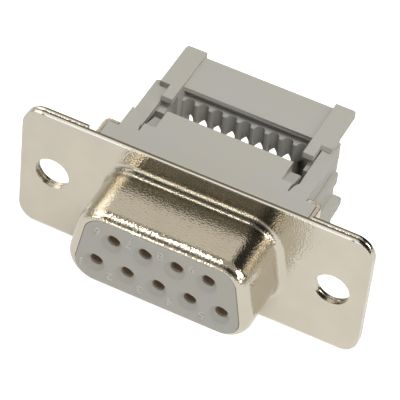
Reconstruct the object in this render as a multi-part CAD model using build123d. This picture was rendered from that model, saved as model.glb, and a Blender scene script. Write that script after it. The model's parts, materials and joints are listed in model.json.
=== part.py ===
from build123d import *
import math
import os

# Female nine-way D connector for flat ribbon cable, cover in its open place.
# X runs along the flange, Z up, and the mating face looks along -Y. The origin is
# the middle of the two mounting holes, on the front face of the flange.

# Flange and hood of the front shell
sheet = 0.4
flange_height = 12.55
flange_corner = 1.8
edge_break = 0.08
hole_spacing = 24.99
hole_diameter = 3.05
hole_margin = 1.38
hood_reach = 5.9
hood_height = 7.9
hood_mid_width = 15.8
hood_corner = 2.6
hood_angle = 10.0
lip_width = 0.55
lip_side_width = 0.88
lip_radius = 1.3
root_radius = 0.7

# Insulator and its contact pattern
nose_gap = 0.05
nose_recess = 0.2
body_height = 10.4
shoulder_width = 18.4
shoulder_depth = 2.6
contact_pitch = 2.77
row_gap = 2.84
entry_diameter = 1.7
entry_bore = 1.1
entry_depth = 0.4
chamber_diameter = 1.7

# Metal bracket at each end of the body
bracket_gap = 0.04
fold_reach = 1.29
fold_radius = 0.55
tab_height = 10.2

# Rear of the body
mid_width = 16.56
mid_back = 5.52
step_knee = 0.65
step_drop = 0.57
core_width = 11.26
core_back = 6.4
ledge_width = 13.14
ledge_front = 4.2
ledge_back = 6.1
ledge_drop_front = 0.2
ledge_drop_back = 0.85

# Guide arms, each parted from the core by a slot with a narrow tip
slot_tip = 0.95
slot_tip_width = 0.12
arm_step = 0.5
arm_inner = 6.9
arm_back = 9.85
arm_corner = 0.25
rail_thickness = 0.6
rail_tip_back = 11.3
web_thickness = 0.48
web_height = 0.7
web_back = 8.8
slit = 0.2

# Side panel with its shelf and stop
panel_thickness = 0.88
panel_back = 8.15
horn_back = 9.1
horn_height = 1.0
shelf_reach = 0.8
shelf_top = 1.37
shelf_thickness = 0.77
shelf_back = 8.2
shelf_chamfer = 0.3
stop_reach = 0.35
stop_length = 0.45
stop_height = 1.8

# Ribbon and fork contacts
ribbon_pitch = 1.27
ways = 9
long_row = 5
blade_width = 0.64
blade_thickness = 0.3
blade_back = 8.2
fork_slot = 0.2
fork_depth = 1.6
fork_mouth = 0.5
fork_bevel = 0.18
socket_diameter = 1.6
socket_bore = 1.04
socket_front = 5.1
socket_floor = 0.9
socket_back = 0.5
jog_front = 0.8
jog_back = 3.6
blade_gap = 0.05

# Cover
travel = 2.6
comb_depth = 0.95
groove_radius = 0.45
comb_top = 3.8
comb_round = 0.15
window_height = 3.6
post_width = 0.54
post_depth = 0.5
pocket_gap = 0.15
slab_setback = 0.6
slab_thickness = 0.95
slab_height = 9.2
plate_thickness = 0.4
plate_length = 4.05
strap_inner = 5.85
strap_outer = 7.7
strap_top = 5.3
strap_lead = 0.65
strap_length = 5.0
strap_corner = 0.3
tongue_outer = 6.8
tongue_length = 1.5
slide_gap = 0.05
cheek_inner = 5.75
cheek_outer = 6.62
cheek_depth = 1.7
leg_inner = 6.25
leg_height = 7.8
leg_gap = 0.4
nose_catch = 0.15
nose_length = 0.5
nose_height = 1.6

# Overlap that joins two blocks of one moulding, how far a cut runs past a face, and the
# tolerance for finding an edge that lies in a plane
lap = 0.1
over = 1.0
hair = 0.01

# Heights and widths that follow from those above
flange_width = hole_spacing + hole_diameter + 2 * hole_margin
hood_zone = hood_mid_width / 2 + hood_height / 4
half_body = body_height / 2
arm_top = half_body - arm_step
rail_floor = arm_top - rail_thickness
web_floor = rail_floor - web_height
panel_top = web_floor - slit
arm_outer = mid_width / 2
panel_inner = arm_outer - web_thickness
panel_outer = panel_inner + panel_thickness
strap_floor = arm_top + slide_gap
end_top = rail_floor - slide_gap
plate_top = slab_height / 2 + plate_thickness
shoulder_back = sheet + shoulder_depth
row_height = row_gap / 2
ribbon_half = (ways - 1) / 2 * ribbon_pitch
comb_half = ribbon_half + ribbon_pitch / 2
slab_front = arm_back + slab_setback
slab_back = slab_front + slab_thickness
comb_front = slab_front - comb_depth
plate_back = arm_back + plate_length
strap_front = arm_back - strap_lead
strap_back = strap_front + strap_length
tongue_front = strap_front - tongue_length
end_front = arm_back - slide_gap
leg_front = ledge_front + leg_gap + travel
stop_front = leg_front + nose_length + slide_gap
stop_inner = panel_inner - stop_reach
leg_outer = stop_inner - slide_gap
nose_tip = stop_inner + nose_catch


def box(x0, x1, y0, y1, z0, z1):
    """A block between two corners."""
    return Pos((x0 + x1) / 2, (y0 + y1) / 2, (z0 + z1) / 2) * Box(
        abs(x1 - x0), abs(y1 - y0), abs(z1 - z0))


def both_ends(solid):
    """The piece on the right end, and its mirror on the left."""
    return solid + mirror(solid, about=Plane.YZ)


def both_faces(solid):
    """The piece on the top side, and its mirror below."""
    return solid + mirror(solid, about=Plane.XY)


def prism(face, front, back):
    """A face drawn in X and Z, drawn out from y=front to y=back."""
    return extrude(Plane.XZ.offset(-back) * face, amount=back - front)


def slab(points, bottom, top):
    """An outline drawn in X and Y, drawn out from z=bottom to z=top."""
    return extrude(Pos(0, 0, bottom) * make_face(Polyline(*points, close=True)), amount=top - bottom)


def d_face(half_height, half_width, radius):
    """The D outline: the bottom is the wide side, and half_width is at mid height."""
    lean = half_height * math.tan(math.radians(hood_angle))
    top = half_width - lean
    bottom = half_width + lean
    outline = Polygon((-bottom, -half_height), (bottom, -half_height), (top, half_height),
                      (-top, half_height), align=None)
    return fillet(outline.vertices(), radius)


def lip_opening(gap):
    """The opening that the lip leaves in the hood's front, made smaller by a gap all round."""
    return d_face(hood_height / 2 - lip_width - gap, hood_mid_width / 2 - lip_side_width - gap,
                  hood_corner - lip_side_width - gap)


def edges_at(solid, y, reach):
    """Edges that lie in the plane y, within reach of the origin in X and Z."""
    return [e for e in solid.edges()
            if abs(e.bounding_box().min.Y - y) < hair and abs(e.bounding_box().max.Y - y) < hair
            and max(abs(e.bounding_box().min.X), abs(e.bounding_box().max.X)) < reach]


def flange_plate(front, back):
    """The flange outline with its two mounting holes, as one sheet."""
    face = RectangleRounded(flange_width, flange_height, flange_corner)
    face -= [Pos(side * hole_spacing / 2, 0) * Circle(hole_diameter / 2) for side in (-1, 1)]
    return prism(face, front, back)


def make_front_shell():
    plate = flange_plate(0, sheet)
    rim = [e for e in plate.edges().filter_by_position(Axis.Y, -hair, hair)
           if e.bounding_box().max.X - e.bounding_box().min.X > hole_diameter + over
           or e.bounding_box().max.Z > hole_diameter or e.bounding_box().min.Z < -hole_diameter]
    plate = fillet(rim, edge_break)
    half_height = hood_height / 2
    half_width = hood_mid_width / 2
    hood = prism(d_face(half_height, half_width, hood_corner), -hood_reach, sheet)
    hood = fillet(edges_at(hood, -hood_reach, flange_width), lip_radius)
    shell = plate + hood
    shell = fillet(edges_at(shell, 0, hood_zone), root_radius)
    inside = prism(d_face(half_height - sheet, half_width - sheet, hood_corner - sheet),
                   sheet - hood_reach, sheet + over)
    inside = fillet(edges_at(inside, sheet - hood_reach, flange_width), lip_radius - sheet)
    shell -= inside
    shell -= prism(lip_opening(0), -hood_reach - over, 0)
    return fillet(edges_at(shell, sheet, hood_zone), root_radius)


def make_bracket(side):
    """Sheet bracket: an ear behind the flange, bent back and folded in over the shoulder."""
    inner = shoulder_width / 2 + bracket_gap
    outer = inner + sheet
    fold_front = shoulder_back + bracket_gap
    fold_back = fold_front + sheet
    ear_back = 2 * sheet
    outline = [(flange_width, sheet), (inner, sheet), (inner, fold_front),
               (outer - fold_reach, fold_front), (outer - fold_reach, fold_back),
               (outer, fold_back), (outer, ear_back), (flange_width, ear_back)]
    strip = slab(outline, -flange_height / 2, flange_height / 2)
    vertical = strip.edges().filter_by(Axis.Z)

    def at(x, y):
        return vertical.sort_by_distance((x, y, 0))[0]

    strip = fillet([at(outer, fold_back), at(inner, sheet)], fold_radius)
    vertical = strip.edges().filter_by(Axis.Z)
    strip = fillet([at(inner, fold_front), at(outer, ear_back)], fold_radius - sheet)
    ear = flange_plate(sheet, ear_back)
    ear_zone = box(outer, flange_width, 0, ear_back + hair, -flange_height, flange_height)
    tab_zone = box(0, outer + fold_radius, 0, fold_back + over, -tab_height / 2, tab_height / 2)
    bracket = (strip & tab_zone) + (ear & ear_zone)
    bend_zone = box(inner, outer, 0, ear_back + hair, -flange_height / 2, flange_height / 2)
    bracket += strip & bend_zone & ear
    return bracket if side > 0 else mirror(bracket, about=Plane.YZ)


def contact_places():
    """Socket x, socket z and ribbon x of each contact, in contact number order."""
    places = []
    for number in range(1, ways + 1):
        if number <= long_row:
            socket_x = (number - (long_row + 1) / 2) * contact_pitch
            height = -row_height
            wire = 2 * (number - 1)
        else:
            socket_x = (number - long_row - long_row / 2) * contact_pitch
            height = row_height
            wire = 2 * (number - long_row - 1) + 1
        places.append((socket_x, height, (wire - (ways - 1) / 2) * ribbon_pitch))
    return places


def make_contact(socket_x, height, wire_x):
    """Socket in front, a flat strip that steps to the ribbon pitch, and a fork behind."""
    def tube(radius, front, back):
        return Pos(socket_x, back, height) * extrude(Plane.XZ * Circle(radius), amount=back - front)

    socket = tube(socket_diameter / 2, -socket_front, socket_back)
    socket -= tube(socket_bore / 2, -socket_front - over, -socket_floor)
    half = blade_width / 2
    top = height + blade_thickness / 2
    bottom = height - blade_thickness / 2
    mouth_back = blade_back - fork_mouth
    slot_front = blade_back - fork_depth
    inner = fork_slot / 2
    strip = slab([(socket_x - half, -socket_floor / 2), (socket_x + half, -socket_floor / 2),
                  (socket_x + half, jog_front), (wire_x + half, jog_back),
                  (wire_x + half, blade_back - fork_bevel), (wire_x + half - fork_bevel / 2, blade_back),
                  (wire_x + inner + fork_bevel / 2, blade_back), (wire_x + inner, mouth_back),
                  (wire_x + inner, slot_front), (wire_x - inner, slot_front),
                  (wire_x - inner, mouth_back), (wire_x - inner - fork_bevel / 2, blade_back),
                  (wire_x - half + fork_bevel / 2, blade_back), (wire_x - half, blade_back - fork_bevel),
                  (wire_x - half, jog_back), (socket_x - half, jog_front)], bottom, top)
    return socket + strip


def contact_cavity(socket_x, height, wire_x):
    """Countersunk entry, socket chamber, and the slot that the flat strip lies in."""
    nose_front = hood_reach - nose_recess
    entry = Pos(socket_x, -nose_front, height) * Rot(90, 0, 0) * Pos(0, 0, -entry_depth / 2) * Cone(
        entry_bore / 2, entry_diameter / 2, entry_depth)
    bore = Pos(socket_x, -socket_front, height) * extrude(
        Plane.XZ * Circle(entry_bore / 2), amount=nose_front - socket_front + over)
    chamber = Pos(socket_x, core_back + over, height) * extrude(
        Plane.XZ * Circle(chamber_diameter / 2), amount=core_back + over + socket_front)
    half = blade_width / 2 + blade_gap
    left = min(socket_x, wire_x) - half
    right = max(socket_x, wire_x) + half
    rise = blade_thickness / 2 + blade_gap
    return entry + bore + chamber + box(left, right, 0, core_back + over, height - rise, height + rise)


def make_body():
    half_shoulder = shoulder_width / 2
    half_core = core_width / 2
    half_ledge = ledge_width / 2
    body = box(-half_shoulder, half_shoulder, sheet, shoulder_back, -half_body, half_body)
    body += box(-arm_outer, arm_outer, shoulder_back - lap, mid_back, -half_body, half_body)
    body += box(-half_core, half_core, mid_back - lap, core_back, -half_body, half_body)
    body += both_ends(box(half_core, half_ledge, mid_back - lap, ledge_back, -half_body, half_body))
    body += prism(lip_opening(nose_gap), nose_recess - hood_reach, shoulder_back)
    body += both_ends(make_arms() + make_panel())
    body -= both_ends(arm_cuts() + ledge_cuts())
    for place in contact_places():
        body -= contact_cavity(*place)
    return body


def make_arms():
    """Right-hand guide arms, top and bottom: a rail, its inner tip and its outer web."""
    rail = box(arm_inner, arm_outer, mid_back - lap, arm_back, rail_floor, arm_top)
    corner = rail.edges().filter_by(Axis.Z).sort_by_distance((arm_outer, arm_back, arm_top))[0]
    rail = fillet(corner, arm_corner)
    rail += box(arm_inner, strap_outer - 2 * slide_gap, arm_back - lap, rail_tip_back, rail_floor, arm_top)
    web = box(panel_inner, arm_outer, mid_back - lap, web_back, web_floor, rail_floor)
    return both_faces(rail + web)


def make_panel():
    """Right-hand side panel: two rear horns, a shelf outside and a stop inside."""
    root = shoulder_back + sheet + 2 * bracket_gap
    panel = box(panel_inner, panel_outer, root, panel_back, -panel_top, panel_top)
    panel += both_faces(box(panel_inner, panel_outer, panel_back - lap, horn_back,
                            panel_top - horn_height, panel_top))
    corners = panel.edges().filter_by(Axis.Z).filter_by_position(Axis.Y, horn_back, horn_back)
    panel = fillet([e for e in corners if e.center().X > panel_outer - lap], arm_corner)
    shelf = box(panel_outer - lap, panel_outer + shelf_reach, root, shelf_back,
                shelf_top - shelf_thickness, shelf_top)
    corner = shelf.edges().filter_by(Axis.Z).sort_by_distance((panel_outer + shelf_reach, shelf_back, 0))[0]
    panel += chamfer(corner, shelf_chamfer)
    stop = slab([(panel_inner + lap, stop_front), (stop_inner, stop_front),
                 (stop_inner, stop_front + stop_length / 2),
                 (panel_inner + lap, stop_front + stop_length + stop_reach)],
                -stop_height / 2, stop_height / 2)
    return panel + stop


def arm_cuts():
    """Right-hand slots that free the guide arms and the side panel."""
    half_core = core_width / 2
    half_ledge = ledge_width / 2
    channel = box(half_core, panel_inner, ledge_front, strap_back, -rail_floor, rail_floor)
    channel -= box(stop_inner, panel_inner, stop_front, stop_front + stop_length + stop_reach,
                   -stop_height / 2, stop_height / 2)
    slot = box(half_ledge, arm_inner, ledge_front, strap_back, -half_body - over, half_body + over)
    tip = slab([(half_ledge, ledge_front - slot_tip), (half_ledge + slot_tip_width, ledge_front - slot_tip),
                (arm_inner, ledge_front + lap), (half_ledge, ledge_front + lap)],
               -half_body - over, half_body + over)
    step = both_faces(slab([(arm_outer + over, mid_back), (arm_outer, mid_back),
                            (arm_inner + step_knee, mid_back - step_drop), (arm_inner, ledge_front),
                            (half_ledge, ledge_front - slot_tip), (half_ledge, mid_back + over),
                            (arm_outer + over, mid_back + over)],
                           arm_top, half_body + over))
    gap = both_faces(box(panel_inner - lap, panel_outer + over, ledge_front, strap_back,
                         panel_top, web_floor))
    return channel + slot + tip + step + gap


def ledge_cuts():
    """Right-hand sloping ledge that the cover's tongue comes down on."""
    half_core = core_width / 2
    high = half_body - ledge_drop_front
    low = half_body - ledge_drop_back
    side = make_face(Polyline((ledge_front, high), (ledge_back, low), (ledge_back + over, low),
                              (ledge_back + over, half_body + over), (ledge_front, half_body + over),
                              close=True))
    wedge = Pos(half_core, 0, 0) * extrude(Plane.YZ * side, amount=ledge_width / 2 - half_core)
    return both_faces(wedge)


def make_comb():
    """The ribbed face that the ribbon lies in: a half-round groove for each wire, the ribs rounded."""
    comb = box(-cheek_inner - lap, cheek_inner + lap, comb_front, slab_front + lap, -comb_top, comb_top)
    comb -= [Pos((way - (ways - 1) / 2) * ribbon_pitch, comb_front, 0)
             * Cylinder(groove_radius, 2 * comb_top + over) for way in range(ways)]
    ribs = [e for e in comb.edges().filter_by(Axis.Z).filter_by_position(Axis.Y, comb_front, comb_front)
            if abs(e.center().X) < comb_half]
    return fillet(ribs, comb_round)


def make_cover():
    half_slab = slab_height / 2
    cover = box(-cheek_inner - lap, cheek_inner + lap, slab_front, slab_back, -half_slab, half_slab)
    cover += both_faces(box(-strap_inner - lap, strap_inner + lap, arm_back, plate_back,
                            half_slab, plate_top))
    window = box(-comb_half, comb_half - ribbon_pitch, comb_front - over, slab_back + over,
                 -window_height / 2, window_height / 2)
    for pair in range(ways // 2):
        middle = (2 * pair + 2 - ways / 2) * ribbon_pitch
        window -= box(middle - post_width / 2, middle + post_width / 2, comb_front - over,
                      comb_front + post_depth, -window_height, window_height)
    pocket = box(comb_half - ribbon_pitch + post_width / 2, comb_half, comb_front - over,
                 blade_back + travel + pocket_gap, -window_height / 2, window_height / 2)
    return cover + make_comb() + both_ends(make_cover_end()) - window - pocket


def make_cover_end():
    """Right-hand end of the cover: straps, tongues, cheek and the sliding leg."""
    strap = box(strap_inner, strap_outer, strap_front, strap_back, strap_floor, strap_top)
    corner = strap.edges().filter_by(Axis.Z).sort_by_distance((strap_outer, strap_back, 0))[0]
    strap = fillet(corner, strap_corner)
    strap += box(strap_inner, tongue_outer, tongue_front, strap_front + lap, strap_floor, strap_top)
    neck = arm_inner - slide_gap
    end = both_faces(strap)
    end += box(cheek_inner, neck, end_front, slab_back, -strap_floor - lap, strap_floor + lap)
    end += box(cheek_inner, cheek_outer, slab_front - cheek_depth, slab_front,
               -strap_floor - lap, strap_floor + lap)
    end += box(neck - lap, strap_outer, end_front, slab_back, -end_top, end_top)
    end -= box(stop_inner - 2 * slide_gap, strap_outer + over, end_front - over, slab_back + over,
               -stop_height / 2 - 2 * slide_gap, stop_height / 2 + 2 * slide_gap)
    end += box(leg_inner, leg_outer, leg_front, slab_front, -leg_height / 2, leg_height / 2)
    end += slab([(leg_outer - lap, leg_front), (stop_inner, leg_front),
                 (nose_tip, leg_front + nose_length / 2),
                 (nose_tip, leg_front + nose_length), (leg_outer - lap, leg_front + nose_length)],
                -nose_height / 2, nose_height / 2)
    return end


def main():
    os.makedirs("parts", exist_ok=True)
    nodes = {
        "front_shell": make_front_shell(),
        "bracket_left": make_bracket(-1),
        "bracket_right": make_bracket(1),
        "insulator_body": make_body(),
        "cover": make_cover(),
    }
    for number, place in enumerate(contact_places(), start=1):
        nodes[f"contact_{number}"] = make_contact(*place)
    for name, solid in nodes.items():
        export_step(solid, f"parts/{name}.step")


if __name__ == "__main__":
    main()
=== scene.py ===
import json
import math

import bmesh
import bpy
from bpy.props import FloatProperty, FloatVectorProperty, IntProperty, PointerProperty
from mathutils import Matrix, Vector


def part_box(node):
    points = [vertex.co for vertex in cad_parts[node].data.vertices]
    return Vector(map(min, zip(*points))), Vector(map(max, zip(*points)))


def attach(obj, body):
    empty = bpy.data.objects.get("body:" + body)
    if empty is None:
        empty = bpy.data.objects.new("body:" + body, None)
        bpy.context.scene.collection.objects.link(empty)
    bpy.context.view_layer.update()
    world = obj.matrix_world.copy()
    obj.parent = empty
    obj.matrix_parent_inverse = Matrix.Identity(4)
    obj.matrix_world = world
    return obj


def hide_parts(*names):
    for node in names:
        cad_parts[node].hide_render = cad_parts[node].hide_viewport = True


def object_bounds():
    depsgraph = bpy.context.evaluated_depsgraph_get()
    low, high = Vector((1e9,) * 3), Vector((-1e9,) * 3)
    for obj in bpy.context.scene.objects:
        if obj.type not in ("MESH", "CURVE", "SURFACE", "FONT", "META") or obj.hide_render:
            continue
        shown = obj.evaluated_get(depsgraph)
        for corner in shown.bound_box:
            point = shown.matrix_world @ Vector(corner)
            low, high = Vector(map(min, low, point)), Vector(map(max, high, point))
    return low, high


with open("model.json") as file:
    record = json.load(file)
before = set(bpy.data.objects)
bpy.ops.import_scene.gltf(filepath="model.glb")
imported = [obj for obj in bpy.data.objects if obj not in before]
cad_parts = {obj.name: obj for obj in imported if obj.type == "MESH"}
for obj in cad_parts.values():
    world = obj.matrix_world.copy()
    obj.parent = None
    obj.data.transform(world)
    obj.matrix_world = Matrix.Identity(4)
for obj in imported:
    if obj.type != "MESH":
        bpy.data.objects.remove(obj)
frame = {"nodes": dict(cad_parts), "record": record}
cad_low, cad_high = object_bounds()

bl_info = {
    "name": "Ribbon connector dressing",
    "version": (1, 0, 0),
    "blender": (4, 5, 0),
    "location": "3D View > Sidebar > Connector",
    "description": "Dresses the packed nine-way ribbon cable connector and sets up its studio",
    "category": "Object",
}

MM = 0.001
# Points closer than this are one: on drawn outlines, and on a copied solid
WELD = 0.001 * MM
SOLID_WELD = 0.0005 * MM
# A small step that keeps two surfaces from lying in one plane
HAIR = 0.02 * MM

NODES = frame["nodes"]
HOLES = next(m for m in frame["record"]["mounts"] if m["name"] == "mounting_holes")["dims"]
HOLE_RADIUS = HOLES["hole_r_mm"] * MM
HOLE_PLACE = HOLES["spacing_x_mm"] / 2 * MM
CONTACTS = sorted(name for name in NODES if name.startswith("contact_"))
SHELL_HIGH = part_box("front_shell")[1]


def length(name, description, default):
    """A size in metres, shown with its unit."""
    return FloatProperty(name=name, description=description, default=default, min=0.0,
                         precision=6, unit="LENGTH")


def colour(name, description, default):
    """A colour a user may change."""
    return FloatVectorProperty(name=name, description=description, default=default,
                               size=3, min=0.0, max=1.0, subtype="COLOR")


def share(name, description, default, top=1.0):
    """A plain number from nought to a top value."""
    return FloatProperty(name=name, description=description, default=default, min=0.0,
                         max=top, precision=3, subtype="FACTOR")


def power(name, description, default):
    """A lamp's power in watts."""
    return FloatProperty(name=name, description=description, default=default, min=0.0, unit="POWER")


class ShellSizes(bpy.types.PropertyGroup):
    """Sizes of the drawn front shell."""
    sheet: length("Sheet", "Thickness of the plated sheet", 0.4 * MM)
    flange_corner: length("Flange corner", "Radius of the flange's corners", 1.8 * MM)
    edge_break: length("Edge break", "Rounding of the punched edges", 0.17 * MM)
    hood_height: length("Hood height", "Height of the hood", 7.9 * MM)
    hood_width: length("Hood width", "Width of the hood at half its height", 15.8 * MM)
    hood_corner: length("Hood corner", "Radius of the hood's corners", 2.6 * MM)
    hood_angle: FloatProperty(name="Side angle", description="Lean of the hood's sides",
                              default=math.radians(10), subtype="ANGLE")
    root_radius: length("Root radius", "Fillet between flange and hood", 0.7 * MM)
    lip_start: length("Lip start", "How far out the hood is straight", 4.65 * MM)
    lip_radius: length("Lip radius", "Rounding where the lip starts", 1.5 * MM)
    lip_end_radius: length("Lip end radius", "Rounding of the lip's front edge", 0.66 * MM)
    lip_width: length("Lip width", "How far the lip turns in above and below", 0.55 * MM)
    lip_side: length("Lip side width", "How far the lip turns in at the sides", 0.88 * MM)


class BracketSizes(bpy.types.PropertyGroup):
    """Sizes of the two bent brackets."""
    inner: length("Inner face", "Distance of the bracket's inner face from the middle", 9.24 * MM)
    fold_front: length("Fold front", "Front face of the folded tab", 3.04 * MM)
    fold_reach: length("Fold reach", "Length of the folded tab", 1.29 * MM)
    bend: length("Bend", "Outer radius of a bend", 0.55 * MM)
    tab_height: length("Tab height", "Height of the folded tab", 10.2 * MM)


class MouldingSizes(bpy.types.PropertyGroup):
    """Edge rounding, entry cones and raised contact numbers of the insulator."""
    soft_edge: length("Soft edge", "Rounding of the long moulded edges", 0.1 * MM)
    soft_steps: IntProperty(name="Steps", description="Segments across a rounded edge",
                            default=3, min=1, max=6)
    shortest: length("Shortest edge", "Edges shorter than this stay sharp", 0.45 * MM)
    digit_height: length("Digit height", "Height of a raised contact number", 1.15 * MM)
    digit_rise: length("Digit rise", "How far a number stands out", 0.06 * MM)
    digit_swell: length("Digit swell", "How much bolder than its font a number is", 0.02 * MM)
    cone_radius: length("Cone radius", "Radius of a socket's entry cone on the face", 0.98 * MM)
    cone_end: length("Cone end", "Radius at the inner end of the cone", 0.56 * MM)
    cone_depth: length("Cone depth", "Depth of the cone", 0.44 * MM)


class Finishes(bpy.types.PropertyGroup):
    """Colours and surface values of the finishes."""
    nickel: colour("Nickel", "Plating of the shell and brackets", (0.60, 0.56, 0.475))
    nickel_warm: colour("Warm nickel", "Second tone of the plating", (0.64, 0.595, 0.50))
    # Painted highlight: a near-white colour on the punched rims stands in for the glints on their rounded
    # edges
    nickel_rim_highlight: colour("Nickel rim", "Thicker, whiter plating on the punched rims", (0.97, 0.96, 0.93))
    # Painted shade: a dark line at the back of each rim stands in for the shadow in the gap behind the
    # sheet's edge
    nickel_rim_shade: colour("Nickel seam", "Duller line at the back of each rim", (0.2, 0.18, 0.13))
    plastic: colour("Plastic", "Grey of the insulator body", (0.425, 0.422, 0.39))
    plastic_warm: colour("Warm plastic", "Second tone of the mouldings", (0.44, 0.423, 0.372))
    contact: colour("Contact", "Tinned fork of a contact", (0.62, 0.60, 0.56))
    contact_gold: colour("Contact front", "Flashed socket of a contact", (0.50, 0.39, 0.28))
    # Painted sheen: the raised numbers are painted paler to stand in for the light their polished tops
    # catch
    paler: share("Paler", "How much paler the raised numbers are", 1.22, 2.0)
    nickel_roughness: share("Nickel roughness", "Mean roughness of the plating", 0.13)
    plastic_roughness: share("Plastic roughness", "Mean roughness of the plastic", 0.52)
    contact_roughness: share("Contact roughness", "Mean roughness of the contacts", 0.3)
    gold_metallic: share("Socket metal", "How metallic the flashed socket looks", 0.3)
    # Painted shade: how far the plating's colour is darkened in the inner corner between flange and hood
    corner_painted_shade: share("Corner dulling", "How much darker the plating is in the inner corner", 0.6)
    grain: length("Grain", "Size of the plating's grain", 0.155 * MM)
    grain_depth: length("Grain depth", "Depth of the plating's grain", 0.0125 * MM)
    plastic_grain: length("Plastic grain", "Size of the plastic's grain", 0.09 * MM)
    plastic_depth: length("Plastic grain depth", "Depth of the plastic's grain", 0.0015 * MM)


class StageValues(bpy.types.PropertyGroup):
    """Floor, light and camera."""
    floor: colour("Floor", "Colour of the floor and backdrop", (0.6, 0.6, 0.59))
    ambient: share("Ambient", "Strength of the even light on the object", 0.24, 3.0)
    key: power("Key", "Power of the overhead soft box", 1.07)
    fill: power("Fill", "Power of the soft box on the right", 0.32)
    front: power("Front", "Power of the soft box in front", 0.3)
    box_width: length("Box width", "Width of each soft box", 0.2)
    floor_glow: share("Floor glow", "Light that the floor gives to the object", 0.2)
    floor_seen: share("Floor seen", "Light that the camera sees from the floor", 0.95)
    floor_mirrored: share("Floor mirrored", "What the gloss sees on top of the glow", 0.2)
    tent_grey: share("Tent", "Light of the bare cloth of the tent", 0.45)
    tent_least: share("Tent least", "Light of the darkest panel of the tent", 0.03)
    focal: FloatProperty(name="Focal length", description="Focal length of the lens in millimetres",
                         default=238.92, min=1.0)


def let_go():
    """Nothing selected, and out of edit mode."""
    if bpy.context.object and bpy.context.object.mode != "OBJECT":
        bpy.ops.object.mode_set(mode="OBJECT")
    bpy.ops.object.select_all(action="DESELECT")


def pick(piece):
    """Makes one piece the only one selected and active."""
    let_go()
    piece.select_set(True)
    bpy.context.view_layer.objects.active = piece


def named(piece, name):
    """Names a piece and its mesh."""
    piece.name = name
    piece.data.name = name
    return piece


def edit(piece):
    """Opens a piece in edit mode with nothing selected."""
    pick(piece)
    bpy.ops.object.mode_set(mode="EDIT")
    bpy.ops.mesh.select_all(action="DESELECT")


def choose(piece, mode, test):
    """Selects the vertices, edges or faces that pass a test, in edit mode."""
    bpy.ops.mesh.select_all(action="DESELECT")
    bpy.ops.mesh.select_mode(type=mode)
    mesh = bmesh.from_edit_mesh(piece.data)
    parts = {"VERT": mesh.verts, "EDGE": mesh.edges, "FACE": mesh.faces}[mode]
    for part in parts:
        part.select = test(part)
    mesh.select_flush_mode()
    bmesh.update_edit_mesh(piece.data)


def apply(piece, kind, **values):
    """Adds one modifier, sets it and applies it."""
    pick(piece)
    modifier = piece.modifiers.new(kind.title(), kind)
    for key, value in values.items():
        setattr(modifier, key, value)
    bpy.ops.object.modifier_apply(modifier=modifier.name)


def settle(piece, angle=35.0):
    """Smooths the curved faces and leaves the flat ones flat."""
    pick(piece)
    bpy.ops.object.transform_apply(location=True, rotation=True, scale=True)
    bpy.ops.object.shade_smooth_by_angle(angle=math.radians(angle))
    apply(piece, "WEIGHTED_NORMAL", keep_sharp=True, weight=100)


def start_point(name):
    """A single vertex at the origin, from a primitive merged to its centre, in edit mode."""
    let_go()
    bpy.ops.mesh.primitive_plane_add(size=MM, location=(0, 0, 0))
    piece = named(bpy.context.object, name)
    bpy.ops.object.mode_set(mode="EDIT")
    bpy.ops.mesh.select_mode(type="VERT")
    bpy.ops.mesh.merge(type="CENTER")
    return piece


def rounded_corner(before, corner, after, radius, normal):
    """Where an arc in a corner starts and ends, its centre, and how far it turns."""
    come = (corner - before).normalized()
    leave = (after - corner).normalized()
    turn = math.atan2(come.cross(leave).dot(normal), come.dot(leave))
    reach = radius * math.tan(abs(turn) / 2)
    start = corner - come * reach
    centre = start + normal.cross(come) * math.copysign(radius, turn)
    return start, corner + leave * reach, centre, turn


def draw(corners, radii, normal, closed=True, arc_step=math.radians(7.5)):
    """Draws an outline as by hand, in edit mode: a point is drawn out along each side and spun
    round each corner. It starts at the selected point, which is moved to the outline's start."""
    count = len(corners)
    inner = range(count) if closed else range(1, count - 1)
    arcs = [rounded_corner(corners[i - 1], corners[i], corners[(i + 1) % count], radii[i], normal)
            for i in inner]
    here = arcs[-1][1] if closed else corners[0]
    bpy.ops.transform.translate(value=here)
    for start, end, centre, turn in arcs:
        bpy.ops.mesh.extrude_region_move(TRANSFORM_OT_translate={"value": start - here})
        if (end - start).length > WELD:
            steps = max(2, round(abs(turn) / arc_step))
            bpy.ops.mesh.spin(steps=steps, angle=-turn, center=centre, axis=normal)
        here = end
    if not closed:
        bpy.ops.mesh.extrude_region_move(TRANSFORM_OT_translate={"value": corners[-1] - here})
    bpy.ops.mesh.select_all(action="SELECT")
    bpy.ops.mesh.remove_doubles(threshold=WELD)


def face_towards(piece, way):
    """Turns all faces over, in edit mode, if the largest one looks the wrong way."""
    mesh = bmesh.from_edit_mesh(piece.data)
    largest = max(mesh.faces, key=lambda face: face.calc_area())
    if largest.normal.dot(way) < 0:
        bpy.ops.mesh.select_all(action="SELECT")
        bpy.ops.mesh.flip_normals()


def d_corners(half_height, half_width, angle, y):
    """Corners of the D outline at one depth. The bottom is the wide side."""
    lean = half_height * math.tan(angle)
    top, bottom = half_width - lean, half_width + lean
    return [Vector((-bottom, y, -half_height)), Vector((bottom, y, -half_height)),
            Vector((top, y, half_height)), Vector((-top, y, half_height))]


# The way the mating face looks, and where the insulator's face lies
FACING = Vector((0, -1, 0))
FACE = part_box("insulator_body")[0][1]


def close_outline(through):
    """Fills the drawn outline, in edit mode, and draws it out into a closed solid."""
    bpy.ops.mesh.edge_face_add()
    bpy.ops.mesh.extrude_region_move(TRANSFORM_OT_translate={"value": through})
    bpy.ops.mesh.select_all(action="SELECT")
    bpy.ops.mesh.normals_make_consistent(inside=False)


def cut_with(piece, cutter):
    """Cuts one solid out of another and removes the cutter."""
    apply(piece, "BOOLEAN", operation="DIFFERENCE", object=cutter, solver="EXACT")
    pick(cutter)
    bpy.ops.object.delete()


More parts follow.
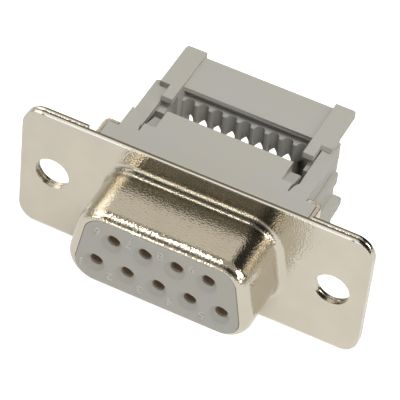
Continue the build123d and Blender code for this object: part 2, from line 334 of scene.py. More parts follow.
def finish_piece(piece, body, slot, material, *nodes):
    """Gives a piece its material and its body, and hides the CAD nodes that it stands for. Its slot is not
    used.
    """
    piece.data.materials.clear()
    piece.data.materials.append(bpy.data.materials[material])
    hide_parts(*nodes)
    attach(piece, body)


class CONNECTOR_OT_front_shell(bpy.types.Operator):
    """Draws the front shell from one sheet: a flange with two holes, and a hood with a turned-in lip"""
    bl_idname = "connector.front_shell"
    bl_label = "Front shell"

    def execute(self, context):
        sizes = context.scene.connector_shell
        half_height = sizes.hood_height / 2
        half_width = sizes.hood_width / 2
        root = sizes.root_radius
        wide = root / math.cos(sizes.hood_angle)
        steps = 8
        quarter, knee, end = (math.radians(turn) for turn in (90, 24, 78))
        shell = start_point("front_shell_sheet")
        corners = d_corners(half_height + root, half_width + wide, sizes.hood_angle, 0)
        draw(corners, [sizes.hood_corner + root] * 4, FACING)
        bpy.ops.mesh.edge_face_add()
        face_towards(shell, FACING)
        self.roll(-root, quarter, 0.0, steps)
        straight = sizes.lip_start - root
        bpy.ops.mesh.extrude_region_move(TRANSFORM_OT_translate={"value": FACING * straight})
        self.roll(sizes.lip_radius, 0.0, knee, steps // 2)
        self.roll(sizes.lip_end_radius, knee, end, steps)
        self.add_flange(shell, sizes)
        pick(shell)
        apply(shell, "SOLIDIFY", thickness=sizes.sheet, offset=-1.0, use_even_offset=True,
              use_quality_normals=True)
        self.cut_lip(shell, sizes)
        apply(shell, "BEVEL", width=sizes.edge_break, segments=3, limit_method="ANGLE",
              angle_limit=math.radians(55), use_clamp_overlap=True)
        settle(shell)
        finish_piece(shell, "connector", "shell", "nickel_plate", "front_shell")
        return {"FINISHED"}

    def roll(self, radius, start, end, steps):
        """Insets the selected face step by step along an arc. A negative radius rolls inwards."""
        for step in range(steps):
            low, high = (start + (end - start) * (step + part) / steps for part in (0, 1))
            bpy.ops.mesh.inset(thickness=radius * (math.cos(low) - math.cos(high)),
                               depth=radius * (math.sin(high) - math.sin(low)))

    def add_flange(self, shell, sizes):
        """Fills the flange round the hood's root and leaves the two mounting holes open."""
        half_x = SHELL_HIGH[0]
        half_z = SHELL_HIGH[2]
        flange = start_point("flange_outline")
        corners = [Vector((-half_x, 0, -half_z)), Vector((half_x, 0, -half_z)),
                   Vector((half_x, 0, half_z)), Vector((-half_x, 0, half_z))]
        draw(corners, [sizes.flange_corner] * 4, FACING)
        for side in (-1, 1):
            bpy.ops.mesh.primitive_circle_add(vertices=72, radius=HOLE_RADIUS,
                                              location=(side * HOLE_PLACE, 0, 0),
                                              rotation=(math.pi / 2, 0, 0))
        pick(flange)
        shell.select_set(True)
        bpy.context.view_layer.objects.active = shell
        bpy.ops.object.join()
        edit(shell)
        choose(shell, "EDGE", lambda e: len(e.link_faces) < 2)
        bpy.ops.mesh.fill(use_beauty=True)
        bpy.ops.mesh.select_all(action="SELECT")
        bpy.ops.mesh.normals_make_consistent(inside=False)
        face_towards(shell, FACING)

    def cut_lip(self, shell, sizes):
        """Opens the hood's front with the D outline, as the punch does."""
        cutter = start_point("lip_cutter")
        front, back = -2 * sizes.lip_start, -sizes.lip_start / 2
        corners = d_corners(sizes.hood_height / 2 - sizes.lip_width,
                            sizes.hood_width / 2 - sizes.lip_side, sizes.hood_angle, front)
        draw(corners, [sizes.hood_corner - sizes.lip_side] * 4, FACING)
        close_outline(Vector((0, back - front, 0)))
        cut_with(shell, cutter)


class CONNECTOR_OT_brackets(bpy.types.Operator):
    """Bends the two brackets: an ear behind the flange, a leg along the body and a folded tab"""
    bl_idname = "connector.brackets"
    bl_label = "Brackets"

    def execute(self, context):
        shell = context.scene.connector_shell
        sizes = context.scene.connector_bracket
        bracket = self.bend_strip(shell, sizes)
        self.trim_leg(bracket, sizes)
        self.thicken(bracket, shell)
        left = self.mirrored(bracket)
        for piece, node_name in ((bracket, "bracket_right"), (left, "bracket_left")):
            settle(piece)
            finish_piece(piece, "connector", "bracket", "nickel_plate", node_name)
        return {"FINISHED"}

    def bend_strip(self, shell, sizes):
        """Draws the bent path, draws it out to the flange's height, and rounds the ear's corners."""
        sheet = shell.sheet
        half_x, half_z = SHELL_HIGH[0], SHELL_HIGH[2]
        outer = sizes.inner + sheet
        path = [Vector((half_x, sheet, -half_z)), Vector((sizes.inner, sheet, -half_z)),
                Vector((sizes.inner, sizes.fold_front, -half_z)),
                Vector((outer - sizes.fold_reach, sizes.fold_front, -half_z))]
        bracket = start_point("bracket_right_sheet")
        draw(path, [0, sizes.bend, sizes.bend - sheet, 0], Vector((0, 0, 1)), closed=False,
             arc_step=math.radians(11.25))
        bpy.ops.mesh.extrude_region_move(TRANSFORM_OT_translate={"value": (0, 0, 2 * half_z)})
        edge = half_x - HAIR
        choose(bracket, "VERT", lambda v: v.co.x > edge)
        bpy.ops.mesh.bevel(offset=shell.flange_corner, affect="VERTICES", segments=10, profile=0.5)
        return bracket

    def trim_leg(self, bracket, sizes):
        """Cuts the leg and the tab down to the tab's height, and leaves the ear whole."""
        half_tab = sizes.tab_height / 2
        for level in (-half_tab, half_tab):
            bpy.ops.mesh.select_all(action="SELECT")
            bpy.ops.mesh.bisect(plane_co=(0, 0, level), plane_no=(0, 0, 1))
        bend_end = sizes.inner + sizes.bend
        choose(bracket, "FACE", lambda f: abs(f.calc_center_median().z) > half_tab
               and f.calc_center_median().x < bend_end)
        bpy.ops.mesh.delete(type="FACE")
        bpy.ops.mesh.select_all(action="SELECT")
        bpy.ops.mesh.normals_make_consistent(inside=False)
        face_towards(bracket, FACING)

    def thicken(self, bracket, shell):
        """Gives the sheet its thickness, its mounting hole and its rounded edges."""
        sheet = shell.sheet
        apply(bracket, "SOLIDIFY", thickness=sheet, offset=-1.0, use_even_offset=True,
              use_quality_normals=True)
        bpy.ops.mesh.primitive_cylinder_add(vertices=72, radius=HOLE_RADIUS, depth=4 * sheet,
                                            location=(HOLE_PLACE, 1.5 * sheet, 0),
                                            rotation=(math.pi / 2, 0, 0))
        cut_with(bracket, bpy.context.object)
        apply(bracket, "BEVEL", width=shell.edge_break, segments=2, limit_method="ANGLE",
              angle_limit=math.radians(55), use_clamp_overlap=True)

    def mirrored(self, bracket):
        """A copy of the right bracket for the left end."""
        pick(bracket)
        bpy.ops.object.duplicate()
        left = named(bpy.context.object, "bracket_left_sheet")
        bpy.ops.object.mode_set(mode="EDIT")
        bpy.ops.mesh.select_all(action="SELECT")
        bpy.ops.transform.resize(value=(-1, 1, 1), center_override=(0, 0, 0))
        bpy.ops.mesh.flip_normals()
        return left


def join_flats(piece):
    """Opens a piece in edit mode, merges its double points and joins its flat faces."""
    edit(piece)
    bpy.ops.mesh.select_all(action="SELECT")
    bpy.ops.mesh.remove_doubles(threshold=SOLID_WELD)
    bpy.ops.mesh.dissolve_limited(angle_limit=math.radians(1.0))


def welded_copy(node_name, name):
    """A copy of a CAD node, its points merged and its flat faces joined, ready for hand work."""
    let_go()
    piece = bpy.data.objects.new(name, NODES[node_name].data.copy())
    piece.data.name = name
    bpy.context.scene.collection.objects.link(piece)
    piece.data.materials.clear()
    join_flats(piece)
    return piece


def soften(piece, width, steps, shortest):
    """Rounds the long outer and inner edges of a moulding, and leaves its small ones sharp."""
    sharp = math.radians(30)
    room = 1.6 * width

    def fit(edge):
        if len(edge.link_faces) != 2 or edge.calc_length() < shortest:
            return False
        if edge.calc_face_angle(0.0) < sharp:
            return False
        near = [e for v in edge.verts for e in v.link_edges if e is not edge]
        return all(e.calc_length() > room or e.calc_face_angle(0.0) < sharp for e in near)

    choose(piece, "EDGE", fit)
    bpy.ops.mesh.bevel(offset=width, segments=steps, profile=0.5, affect="EDGES", clamp_overlap=True)
    bpy.ops.mesh.select_all(action="SELECT")
    bpy.ops.mesh.remove_doubles(threshold=SOLID_WELD)


class CONNECTOR_OT_insulator(bpy.types.Operator):
    """Makes the grey insulator body with softly rounded moulded edges"""
    bl_idname = "connector.insulator"
    bl_label = "Insulator body"

    def execute(self, context):
        sizes = context.scene.connector_moulding
        body = welded_copy("insulator_body", "insulator_moulding")
        soften(body, sizes.soft_edge, sizes.soft_steps, sizes.shortest)
        self.countersink(body, sizes)
        settle(body, 40.0)
        finish_piece(body, "connector", "housing", "housing_plastic", "insulator_body")
        return {"FINISHED"}

    def countersink(self, body, sizes):
        """Widens the entry cones on the face."""
        middle = FACE - HAIR + sizes.cone_depth / 2
        for mount in frame["record"]["mounts"]:
            if mount["kind"] != "bore":
                continue
            x, _, z = mount["pos_m"]
            let_go()
            bpy.ops.mesh.primitive_cone_add(vertices=48, radius1=sizes.cone_radius, radius2=sizes.cone_end,
                                            depth=sizes.cone_depth, location=(x, middle, z),
                                            rotation=(-math.pi / 2, 0, 0))
            cut_with(body, bpy.context.object)


# The cover's comb, in millimetres: its block, its grooves and the posts between pairs of wires
COMB_PITCH = 1.27
COMB_WAYS = 9
COMB_FRONT, COMB_BACK, COMB_TOP = 9.5, 10.45, 3.8
COMB_HALF = 5.75
GROOVE_RADIUS, GROOVE_DEPTH, RIB_ROUND = 0.45, 0.55, 0.1
POST_WIDTH, POST_BACK = 0.54, 10.0
# Its windows: from the middle to the side, the flat top behind the posts, and the pointed top
WINDOW_HALF, WINDOW_TOP, WINDOW_PEAK, WINDOW_SHOULDER = 5.715, 1.8, 2.05, 1.4
# How far a cutter runs past a face, the little that clears the comb's own top, and how far the
# comb reaches into the cover behind it, so that the two become one
OVER, CLEAR, GRIP = 1.0, 0.01, 0.05


def solid_box(name, low, high):
    """A box between two corners given in millimetres."""
    let_go()
    middle = [(a + b) / 2 * MM for a, b in zip(low, high)]
    bpy.ops.mesh.primitive_cube_add(size=1, location=middle)
    box = named(bpy.context.object, name)
    bpy.ops.transform.resize(value=[(b - a) * MM for a, b in zip(low, high)])
    bpy.ops.object.transform_apply(location=True, rotation=True, scale=True)
    return box


def wire_place(way):
    """Where a wire lies across the comb, counted from nought, in millimetres."""
    return (way - (COMB_WAYS - 1) / 2) * COMB_PITCH


def comb_outline():
    """The comb's outline seen from above, and the radius of each of its corners, in metres."""
    groove = ((-GROOVE_RADIUS, 0.0, RIB_ROUND), (-GROOVE_RADIUS, GROOVE_DEPTH, GROOVE_RADIUS),
              (GROOVE_RADIUS, GROOVE_DEPTH, GROOVE_RADIUS), (GROOVE_RADIUS, 0.0, RIB_ROUND))
    points, radii = [(-COMB_HALF, COMB_FRONT)], [0.0]
    for way in range(COMB_WAYS):
        middle = wire_place(way)
        for x, y, radius in groove:
            points.append((middle + x, COMB_FRONT + y))
            radii.append(radius * MM)
    back = COMB_BACK + GRIP
    points += [(COMB_HALF, COMB_FRONT), (COMB_HALF, back), (-COMB_HALF, back)]
    radii += [0.0, 0.0, 0.0]
    return [Vector((x * MM, y * MM, -COMB_TOP * MM)) for x, y in points], radii


def window_outline(way):
    """One wire's opening through the comb, pointed above and below, with posts between pairs."""
    middle = wire_place(way)
    left, right = middle - COMB_PITCH / 2, middle + COMB_PITCH / 2
    if way % 2:
        right -= POST_WIDTH / 2
    elif way:
        left += POST_WIDTH / 2

    def top(x):
        return WINDOW_PEAK - (WINDOW_PEAK - WINDOW_SHOULDER) * abs(x - middle) / (COMB_PITCH / 2)

    corners = [(left, -top(left)), (middle, -WINDOW_PEAK), (right, -top(right)),
               (right, top(right)), (middle, WINDOW_PEAK), (left, top(left))]
    return [Vector((x * MM, (COMB_FRONT - OVER) * MM, z * MM)) for x, z in corners]


class CONNECTOR_OT_cover(bpy.types.Operator):
    """Makes the sliding cover, with smooth rounded grooves in its comb"""
    bl_idname = "connector.cover"
    bl_label = "Cover"

    def execute(self, context):
        cover = welded_copy("cover", "cover_moulding")
        bpy.ops.object.mode_set(mode="OBJECT")
        self.remake_comb(cover)
        # The cuts leave stray points in straight edges, and not the same ones each run
        join_flats(cover)
        settle(cover, 40.0)
        finish_piece(cover, "cover", "cover", "cover_plastic", "cover")
        return {"FINISHED"}

    def remake_comb(self, cover):
        """Cuts the coarse comb away and sets in one with smooth rounded grooves."""
        cut_with(cover, solid_box("old_comb", (-COMB_HALF, COMB_FRONT - OVER, -COMB_TOP - CLEAR),
                                  (COMB_HALF, COMB_BACK, COMB_TOP + CLEAR)))
        comb = start_point("new_comb")
        points, radii = comb_outline()
        draw(points, radii, Vector((0, 0, 1)), arc_step=math.radians(15))
        close_outline((0, 0, 2 * COMB_TOP * MM))
        for way in range(COMB_WAYS):
            window = start_point("comb_window")
            outline = window_outline(way)
            draw(outline, [0.0] * len(outline), FACING)
            close_outline((0, (COMB_BACK + 2 * OVER - COMB_FRONT) * MM, 0))
            cut_with(comb, window)
        last_post = (COMB_WAYS / 2 - 1) * COMB_PITCH
        cut_with(comb, solid_box("comb_window", (-WINDOW_HALF, POST_BACK, -WINDOW_TOP),
                                 (last_post, COMB_BACK + OVER, WINDOW_TOP)))
        apply(cover, "BOOLEAN", operation="UNION", object=comb, solver="EXACT")
        pick(comb)
        bpy.ops.object.delete()


class CONNECTOR_OT_contacts(bpy.types.Operator):
    """Gives the nine contacts their plated finish"""
    bl_idname = "connector.contacts"
    bl_label = "Contacts"

    def execute(self, context):
        for name in CONTACTS:
            mesh = NODES[name].data
            mesh.materials.clear()
            mesh.materials.append(bpy.data.materials["contact_plating"])
        return {"FINISHED"}


# Where each raised number stands on the insulator's face, in millimetres from the middle
NUMBER_PLACES = {
    "1": (-6.72, -1.8), "2": (-4.12, -2.24), "3": (-1.45, -2.28), "4": (1.25, -2.24), "5": (4.05, -2.21),
    "6": (-5.5, 2.22), "7": (-2.7, 2.24), "8": (0.06, 2.42), "9": (2.8, 2.42),
}


class CONNECTOR_OT_numbers(bpy.types.Operator):
    """Raises the contact numbers on the insulator's face"""
    bl_idname = "connector.numbers"
    bl_label = "Contact numbers"

    def execute(self, context):
        sizes = context.scene.connector_moulding
        for number, (x, z) in NUMBER_PLACES.items():
            let_go()
            bpy.ops.object.text_add(location=(x * MM, FACE, z * MM),
                                    rotation=(math.pi / 2, math.pi, 0))
            digit = named(bpy.context.object, "number_" + number)
            digit.data.body = number
            digit.data.align_x = "CENTER"
            digit.data.align_y = "CENTER"
            digit.data.size = sizes.digit_height
            digit.data.extrude = sizes.digit_rise
            digit.data.offset = sizes.digit_swell
            digit.data.resolution_u = 4
            bpy.ops.object.convert(target="MESH")
            bpy.ops.object.transform_apply(location=True, rotation=True, scale=True)
            digit.data.materials.clear()
            digit.data.materials.append(bpy.data.materials["number_plastic"])
            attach(digit, "connector")
        return {"FINISHED"}


def new_group(name, inputs, outputs):
    """A shader group with its sockets, and its input and output nodes."""
    group = bpy.data.node_groups.new(name, "ShaderNodeTree")
    for label, kind, value in inputs:
        socket = group.interface.new_socket(name=label, in_out="INPUT", socket_type=kind)
        socket.default_value = value
    for label, kind in outputs:
        group.interface.new_socket(name=label, in_out="OUTPUT", socket_type=kind)
    return group, group.nodes.new("NodeGroupInput"), group.nodes.new("NodeGroupOutput")


def node(tree, kind, **values):
    """Adds a node and sets its plain values and its sockets by name."""
    made = tree.nodes.new(kind)
    for key, value in values.items():
        if hasattr(made, key):
            setattr(made, key, value)
        else:
            made.inputs[key.replace("_", " ")].default_value = value
    return made


def make_grain_group():
    """Fine grain in object space: round dimples as a height, and two sizes of noise as a mask."""
    coarser = 0.12
    tree, given, out = new_group(
        "surface_grain",
        [("Size", "NodeSocketFloat", 0.0001), ("Spread", "NodeSocketFloat", 0.5)],
        [("Height", "NodeSocketFloat"), ("Mask", "NodeSocketFloat")])
    place = node(tree, "ShaderNodeTexCoord")
    scale = node(tree, "ShaderNodeMath", operation="DIVIDE")
    scale.inputs[0].default_value = 1.0
    fine = node(tree, "ShaderNodeTexNoise", Detail=2.0, Roughness=0.5)
    coarse = node(tree, "ShaderNodeTexNoise", Detail=2.0, Roughness=0.6)
    wide = node(tree, "ShaderNodeMath", operation="MULTIPLY")
    wide.inputs[1].default_value = coarser
    mix = node(tree, "ShaderNodeMix", data_type="FLOAT")
    dimple = node(tree, "ShaderNodeTexVoronoi", feature="F1")
    round_off = node(tree, "ShaderNodeMath", operation="POWER")
    round_off.inputs[1].default_value = 2.0
    link = tree.links.new
    link(given.outputs["Size"], scale.inputs[1])
    link(scale.outputs[0], fine.inputs["Scale"])
    link(scale.outputs[0], wide.inputs[0])
    link(wide.outputs[0], coarse.inputs["Scale"])
    link(place.outputs["Object"], fine.inputs["Vector"])
    link(place.outputs["Object"], coarse.inputs["Vector"])
    link(given.outputs["Spread"], mix.inputs[0])
    link(fine.outputs[0], mix.inputs[2])
    link(coarse.outputs[0], mix.inputs[3])
    link(scale.outputs[0], dimple.inputs["Scale"])
    link(place.outputs["Object"], dimple.inputs["Vector"])
    link(dimple.outputs["Distance"], round_off.inputs[0])
    link(round_off.outputs[0], out.inputs["Height"])
    link(mix.outputs[0], out.inputs["Mask"])


def make_tone_group():
    """Slow drift between two tones, as a moulding or a plated sheet has."""
    tree, given, out = new_group(
        "tone_drift",
        [("Tone A", "NodeSocketColor", (0.5, 0.5, 0.5, 1.0)),
         ("Tone B", "NodeSocketColor", (0.5, 0.5, 0.5, 1.0)),
         ("Scale", "NodeSocketFloat", 300.0)],
        [("Color", "NodeSocketColor")])
    place = node(tree, "ShaderNodeTexCoord")
    drift = node(tree, "ShaderNodeTexNoise", Detail=3.0, Roughness=0.55)
    ramp = node(tree, "ShaderNodeMapRange", From_Min=0.35, From_Max=0.65)
    mix = node(tree, "ShaderNodeMix", data_type="RGBA")
    link = tree.links.new
    link(place.outputs["Object"], drift.inputs["Vector"])
    link(given.outputs["Scale"], drift.inputs["Scale"])
    link(drift.outputs[0], ramp.inputs[0])
    link(ramp.outputs[0], mix.inputs[0])
    link(given.outputs["Tone A"], mix.inputs[6])
    link(given.outputs["Tone B"], mix.inputs[7])
    link(mix.outputs[2], out.inputs["Color"])


def rgba(tone):
    """A colour property as four numbers."""
    return (*tone, 1.0)


def grained_material(name, tones, roughness, stray, grain, depth, drift=0.0, metallic=0.0):
    """A finish from the two shared groups: one colour or two that drift, and grain in roughness
    and bump. The roughness strays to both sides of its mean."""
    material = bpy.data.materials.new(name)
    material.use_nodes = True
    tree = material.node_tree
    link = tree.links.new
    shader = tree.nodes["Principled BSDF"]
    shader.inputs["Metallic"].default_value = metallic
    shader.inputs["Base Color"].default_value = rgba(tones[0])
    if len(tones) == 2:
        tone = node(tree, "ShaderNodeGroup", node_tree=bpy.data.node_groups["tone_drift"], name="Tone",
                    Tone_A=rgba(tones[0]), Tone_B=rgba(tones[1]), Scale=drift)
        link(tone.outputs["Color"], shader.inputs["Base Color"])
    rough = node(tree, "ShaderNodeGroup", node_tree=bpy.data.node_groups["surface_grain"], Size=grain)
    span = node(tree, "ShaderNodeMapRange", From_Min=0.3, From_Max=0.7,
                To_Min=roughness - stray, To_Max=roughness + stray)
    bump = node(tree, "ShaderNodeBump", Strength=1.0, Distance=depth)
    link(rough.outputs["Mask"], span.inputs[0])
    link(span.outputs[0], shader.inputs["Roughness"])
    link(rough.outputs["Height"], bump.inputs["Height"])
    link(bump.outputs["Normal"], shader.inputs["Normal"])
    return material


# Bands of painted shade in the inner corner of the plating, in millimetres: axis, where each band starts,
# where it is full
PAINTED_SHADE_BANDS = (("Y", -1.1, -0.5), ("Y", 0.0, -0.12), ("Z", 3.4, 4.0))
# Rims of the sheets, above and below, which get a painted highlight and a painted shade line: where they
# start and are full, in millimetres from the middle
RIM_START, RIM_FULL = 6.08, 6.16
# Where the painted shade line at the back of a rim starts and is full, as a share of the sheet's thickness
RIM_SHADE_START, RIM_SHADE_FULL = 0.3, 0.6
# How far behind the flange's front the contacts' tinned finish is full, in millimetres
TIN_FULL = 0.5


def smooth_ramp(tree, start, full):
    """A soft step from nought at one value to one at another."""
    return node(tree, "ShaderNodeMapRange", interpolation_type="SMOOTHSTEP", From_Min=start, From_Max=full)


def axis_places(tree):
    """The place on the piece, split into X, Y and Z."""
    place = node(tree, "ShaderNodeTexCoord")
    split = node(tree, "ShaderNodeSeparateXYZ")
    tree.links.new(place.outputs["Object"], split.inputs[0])
    return split


class CONNECTOR_OT_finishes(bpy.types.Operator):
    """Mixes the shared node groups and the finishes that the pieces use"""
    bl_idname = "connector.finishes"
    bl_label = "Finishes"

    def execute(self, context):
        values = context.scene.connector_finishes
        make_grain_group()
        make_tone_group()
        nickel = grained_material("nickel_plate", (values.nickel, values.nickel_warm),
                                  roughness=values.nickel_roughness, stray=0.06, grain=values.grain,
                                  depth=values.grain_depth, drift=260.0, metallic=1.0)
        self.paint_corner_shade(nickel.node_tree, values)
        # The numbers' paler colour is a painted sheen
        paler = [values.paler * part for part in values.plastic]
        for name, tones, drift in (
                ("housing_plastic", (values.plastic, values.plastic_warm), 180.0),
                ("cover_plastic", (values.plastic_warm, values.plastic), 150.0),
                ("number_plastic", (paler,), 0.0)):
            grained_material(name, tones, roughness=values.plastic_roughness, stray=0.06,
                             grain=values.plastic_grain, depth=values.plastic_depth, drift=drift)
        contact = grained_material("contact_plating", (values.contact,), stray=0.05,
                                   roughness=values.contact_roughness, grain=0.05 * MM,
                                   depth=0.001 * MM, metallic=1.0)
        self.flash(contact.node_tree, values)
        return {"FINISHED"}

    def paint_corner_shade(self, tree, values):
        """Paints shade into the plating in the inner corner between flange and hood, darkening its colour
        towards black there.
        """
        link = tree.links.new
        split = axis_places(tree)
        level = None
        for axis, start, full in PAINTED_SHADE_BANDS:
            ramp = smooth_ramp(tree, start * MM, full * MM)
            both = node(tree, "ShaderNodeMath", operation="MULTIPLY")
            both.inputs[0].default_value = values.corner_painted_shade
            link(split.outputs[axis], ramp.inputs[0])
            link(ramp.outputs[0], both.inputs[1])
            if level is not None:
                link(level, both.inputs[0])
            level = both.outputs[0]
        # Painted shade: the plating's colour is mixed towards black by the corner mask
        blend = node(tree, "ShaderNodeMix", data_type="RGBA")
        blend.inputs[7].default_value = (0.0, 0.0, 0.0, 1.0)
        link(level, blend.inputs[0])
        link(tree.nodes["Tone"].outputs["Color"], blend.inputs[6])
        self.paint_rim_highlight_and_shade(tree, split, blend.outputs[2], values)

    def paint_rim_highlight_and_shade(self, tree, split, plating, values):
        """Paints a near-white highlight on the punched rims, and a painted shade line at the back of each
        sheet.
        """
        link = tree.links.new
        across = node(tree, "ShaderNodeMath", operation="ABSOLUTE")
        rim = smooth_ramp(tree, RIM_START * MM, RIM_FULL * MM)
        count = node(tree, "ShaderNodeMath", operation="DIVIDE")
        count.inputs[1].default_value = bpy.context.scene.connector_shell.sheet
        part = node(tree, "ShaderNodeMath", operation="FRACT")
        back = smooth_ramp(tree, RIM_SHADE_START, RIM_SHADE_FULL)
        # Painted highlight at the front of each rim, painted shade at its back
        edge = node(tree, "ShaderNodeMix", data_type="RGBA")
        edge.inputs[6].default_value = rgba(values.nickel_rim_highlight)
        edge.inputs[7].default_value = rgba(values.nickel_rim_shade)
        bright = node(tree, "ShaderNodeMix", data_type="RGBA")
        link(split.outputs["Y"], count.inputs[0])
        link(count.outputs[0], part.inputs[0])
        link(part.outputs[0], back.inputs[0])
        link(back.outputs[0], edge.inputs[0])
        link(edge.outputs[2], bright.inputs[7])
        link(split.outputs["Z"], across.inputs[0])
        link(across.outputs[0], rim.inputs[0])
        link(rim.outputs[0], bright.inputs[0])
        link(plating, bright.inputs[6])
        link(bright.outputs[2], tree.nodes["Principled BSDF"].inputs["Base Color"])

    def flash(self, tree, values):
        """Changes the tinned finish to the duller flashed one in the socket, in front of the flange."""
        link = tree.links.new
        shader = tree.nodes["Principled BSDF"]
        split = axis_places(tree)
        behind = node(tree, "ShaderNodeMapRange", From_Max=TIN_FULL * MM)
        shine = node(tree, "ShaderNodeMapRange", To_Min=values.gold_metallic)
        blend = node(tree, "ShaderNodeMix", data_type="RGBA")
        blend.inputs[6].default_value = rgba(values.contact_gold)
        blend.inputs[7].default_value = rgba(values.contact)
        link(split.outputs["Y"], behind.inputs[0])
        link(behind.outputs[0], shine.inputs[0])
        link(shine.outputs[0], shader.inputs["Metallic"])
        link(behind.outputs[0], blend.inputs[0])
        link(blend.outputs[2], shader.inputs["Base Color"])


# The camera's axes and place, solved from the photograph
CAMERA_RIGHT = Vector((0.89371537, 0.44154143, 0.07946067))
CAMERA_DOWN = Vector((0.36731689, -0.61846269, -0.69468137))
CAMERA_AHEAD = Vector((-0.25758715, 0.65003466, -0.71491524))
CAMERA_PLACE = Vector((0.054469, -0.135983, 0.153416))
CAMERA_SENSOR = 36.0
# Tints of the light, width of the floor, and the tent's radius and lower edge, in metres
WARM_FILL = (1.0, 0.95, 0.88)
WARM_AIR = (1.0, 0.95, 0.9)
WARM_CLOTH = (1.0, 0.945, 0.84)
WHITE = (1.0, 1.0, 1.0)
FLOOR_WIDTH = 1.6
TENT_RADIUS = 0.7
TENT_LOW = -0.05
# Panels of the tent: azimuth (0 in front, 90 on the right, 180 behind), elevation, half width,
# soft border, all in degrees, and what each adds to the grey of the cloth
PANELS = (
    (-90, 75, 4, 4, 9.0),
    (-76, 48, 14, 11, 1.6),
    (-40, 20, 8, 6, 2.5),
    (-19, 45, 7, 10, -0.29),
    (-15, 9, 4, 4, 5.0),
    (-110, 46, 10, 8, 1.2),
    (-133, 22, 10, 10, 1.2),
    (98, 34, 9, 6, 7.0),
    (60, 20, 7, 6, 3.0),
    (145, 32, 18, 12, -0.5),
    (130, 8, 16, 12, -0.4),
    (35, 40, 20, 14, -0.4),
    (-158, 46, 16, 12, 0.32),
    (-150, 64, 4, 8, -0.4),
)


def bare_material(name):
    """A material with no nodes yet, and its node tree."""
    material = bpy.data.materials.new(name)
    material.use_nodes = True
    material.node_tree.nodes.clear()
    return material, material.node_tree


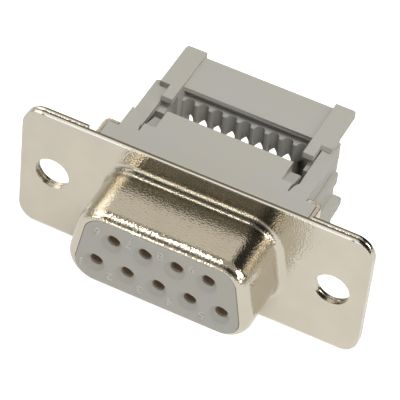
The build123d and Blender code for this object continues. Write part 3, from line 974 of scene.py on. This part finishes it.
class CONNECTOR_OT_stage(bpy.types.Operator):
    """Sets up the pale floor, the soft light and the camera at the photograph's angle"""
    bl_idname = "connector.stage"
    bl_label = "Stage"

    def execute(self, context):
        values = context.scene.connector_stage
        scene = context.scene
        scene.view_settings.view_transform = "Standard"
        self.camera(scene, values)
        self.floor(values)
        self.world(scene, values)
        self.tent(values)
        self.lamps(values)
        return {"FINISHED"}

    def camera(self, scene, values):
        """The lens and place found from the photograph."""
        data = bpy.data.cameras.new("studio_camera")
        data.lens = values.focal
        data.sensor_width = CAMERA_SENSOR
        data.clip_start = 0.005
        data.clip_end = 10.0
        camera = bpy.data.objects.new("studio_camera", data)
        scene.collection.objects.link(camera)
        turn = Matrix((CAMERA_RIGHT, -CAMERA_DOWN, -CAMERA_AHEAD)).transposed().to_4x4()
        camera.matrix_world = Matrix.Translation(CAMERA_PLACE) @ turn
        scene.camera = camera

    def floor(self, values):
        """A pale sheet under the flange's lower edge."""
        let_go()
        bpy.ops.mesh.primitive_plane_add(size=FLOOR_WIDTH, location=(0, 0, cad_low[2] - HAIR))
        floor = named(bpy.context.object, "studio_floor")
        material, tree = bare_material("floor_paper")
        out = node(tree, "ShaderNodeOutputMaterial")
        paper = node(tree, "ShaderNodeBsdfDiffuse", Color=rgba(values.floor))
        glow = node(tree, "ShaderNodeEmission")
        path = node(tree, "ShaderNodeLightPath")
        seen = node(tree, "ShaderNodeMapRange", To_Min=values.floor_glow, To_Max=values.floor_seen)
        mirrored = node(tree, "ShaderNodeMath", operation="MULTIPLY_ADD")
        mirrored.inputs[1].default_value = values.floor_mirrored
        both = node(tree, "ShaderNodeAddShader")
        link = tree.links.new
        link(path.outputs["Is Camera Ray"], seen.inputs[0])
        link(path.outputs["Is Glossy Ray"], mirrored.inputs[0])
        link(seen.outputs[0], mirrored.inputs[2])
        link(mirrored.outputs[0], glow.inputs["Strength"])
        link(paper.outputs[0], both.inputs[0])
        link(glow.outputs[0], both.inputs[1])
        link(both.outputs[0], out.inputs["Surface"])
        floor.data.materials.append(material)

    def world(self, scene, values):
        """Even light on the object, and a white background where it is seen."""
        world = bpy.data.worlds.new("studio_world")
        world.use_nodes = True
        tree = world.node_tree
        tree.nodes.clear()
        out = node(tree, "ShaderNodeOutputWorld")
        even = node(tree, "ShaderNodeBackground", Strength=values.ambient, Color=rgba(WARM_AIR))
        white = node(tree, "ShaderNodeBackground", Color=rgba(WHITE))
        path = node(tree, "ShaderNodeLightPath")
        seen = node(tree, "ShaderNodeMath", operation="MAXIMUM")
        also = node(tree, "ShaderNodeMath", operation="MAXIMUM")
        pick_one = node(tree, "ShaderNodeMixShader")
        link = tree.links.new
        link(path.outputs["Is Camera Ray"], seen.inputs[0])
        link(path.outputs["Is Glossy Ray"], seen.inputs[1])
        link(seen.outputs[0], also.inputs[0])
        link(path.outputs["Is Transmission Ray"], also.inputs[1])
        link(also.outputs[0], pick_one.inputs[0])
        link(even.outputs[0], pick_one.inputs[1])
        link(white.outputs[0], pick_one.inputs[2])
        link(pick_one.outputs[0], out.inputs["Surface"])
        scene.world = world

    def tent(self, values):
        """A tent of cloth that only the gloss sees: grey, with bright and dark panels."""
        let_go()
        bpy.ops.mesh.primitive_uv_sphere_add(segments=64, ring_count=32, radius=TENT_RADIUS,
                                             location=(0, 0, 0))
        tent = named(bpy.context.object, "studio_tent")
        bpy.ops.object.mode_set(mode="EDIT")
        choose(tent, "VERT", lambda v: v.co.z < TENT_LOW)
        bpy.ops.mesh.delete(type="VERT")
        bpy.ops.object.mode_set(mode="OBJECT")
        for ray in ("camera", "diffuse", "shadow", "transmission", "volume_scatter"):
            setattr(tent, "visible_" + ray, False)
        material, tree = bare_material("tent_cloth")
        link = tree.links.new
        out = node(tree, "ShaderNodeOutputMaterial")
        glow = node(tree, "ShaderNodeEmission", Color=rgba(WARM_CLOTH))
        place = node(tree, "ShaderNodeTexCoord")
        aim = node(tree, "ShaderNodeVectorMath", operation="NORMALIZE")
        link(place.outputs["Object"], aim.inputs[0])
        level = None
        for azimuth, elevation, reach, soft, strength in PANELS:
            a, e = math.radians(azimuth), math.radians(elevation)
            facing = node(tree, "ShaderNodeVectorMath", operation="DOT_PRODUCT")
            facing.inputs[1].default_value = (math.sin(a) * math.cos(e), -math.cos(a) * math.cos(e),
                                              math.sin(e))
            panel = smooth_ramp(tree, math.cos(math.radians(reach + soft)), math.cos(math.radians(reach)))
            panel.inputs["To Max"].default_value = strength
            link(aim.outputs[0], facing.inputs[0])
            link(facing.outputs["Value"], panel.inputs[0])
            add = node(tree, "ShaderNodeMath", operation="ADD")
            add.inputs[0].default_value = values.tent_grey
            if level is not None:
                link(level, add.inputs[0])
            link(panel.outputs[0], add.inputs[1])
            level = add.outputs[0]
        least = node(tree, "ShaderNodeMath", operation="MAXIMUM")
        least.inputs[1].default_value = values.tent_least
        link(level, least.inputs[0])
        link(least.outputs[0], glow.inputs["Strength"])
        link(glow.outputs[0], out.inputs["Surface"])
        tent.data.materials.append(material)

    def lamps(self, values):
        """Soft boxes overhead, in front and on the right. The gloss sees the tent instead of them."""
        for name, place, watts, tint in (
                ("soft_box_top", (0.12, -0.08, 0.35), values.key, WHITE),
                ("soft_box_front", (-0.05, -0.4, 0.1), values.front, WHITE),
                ("soft_box_right", (0.4, 0.02, 0.15), values.fill, WARM_FILL)):
            data = bpy.data.lights.new(name, "AREA")
            data.energy = watts
            data.shape = "SQUARE"
            data.size = values.box_width
            data.color = tint
            lamp = bpy.data.objects.new(name, data)
            lamp.location = place
            lamp.rotation_euler = (-lamp.location).to_track_quat("-Z", "Y").to_euler()
            lamp.visible_glossy = False
            bpy.context.scene.collection.objects.link(lamp)


class CONNECTOR_PT_panel(bpy.types.Panel):
    """Lists the steps in the sidebar"""
    bl_idname = "CONNECTOR_PT_panel"
    bl_label = "Ribbon connector"
    bl_space_type = "VIEW_3D"
    bl_region_type = "UI"
    bl_category = "Connector"

    def draw(self, context):
        for step in STEPS:
            self.layout.operator(step.bl_idname)


GROUPS = {
    "connector_shell": ShellSizes,
    "connector_bracket": BracketSizes,
    "connector_moulding": MouldingSizes,
    "connector_finishes": Finishes,
    "connector_stage": StageValues,
}
STEPS = (
    CONNECTOR_OT_stage,
    CONNECTOR_OT_finishes,
    CONNECTOR_OT_front_shell,
    CONNECTOR_OT_brackets,
    CONNECTOR_OT_insulator,
    CONNECTOR_OT_cover,
    CONNECTOR_OT_contacts,
    CONNECTOR_OT_numbers,
)


def register():
    """Registers the values, the steps and the panel."""
    for kind in (*GROUPS.values(), *STEPS, CONNECTOR_PT_panel):
        bpy.utils.register_class(kind)
    for name, kind in GROUPS.items():
        setattr(bpy.types.Scene, name, PointerProperty(type=kind))


def unregister():
    """Takes them away again."""
    for name in GROUPS:
        delattr(bpy.types.Scene, name)
    for kind in (CONNECTOR_PT_panel, *reversed(STEPS), *reversed(GROUPS.values())):
        bpy.utils.unregister_class(kind)


def main():
    """Runs every step in order."""
    register()
    for step in STEPS:
        group, name = step.bl_idname.split(".")
        getattr(getattr(bpy.ops, group), name)()


if __name__ == "__main__":
    main()
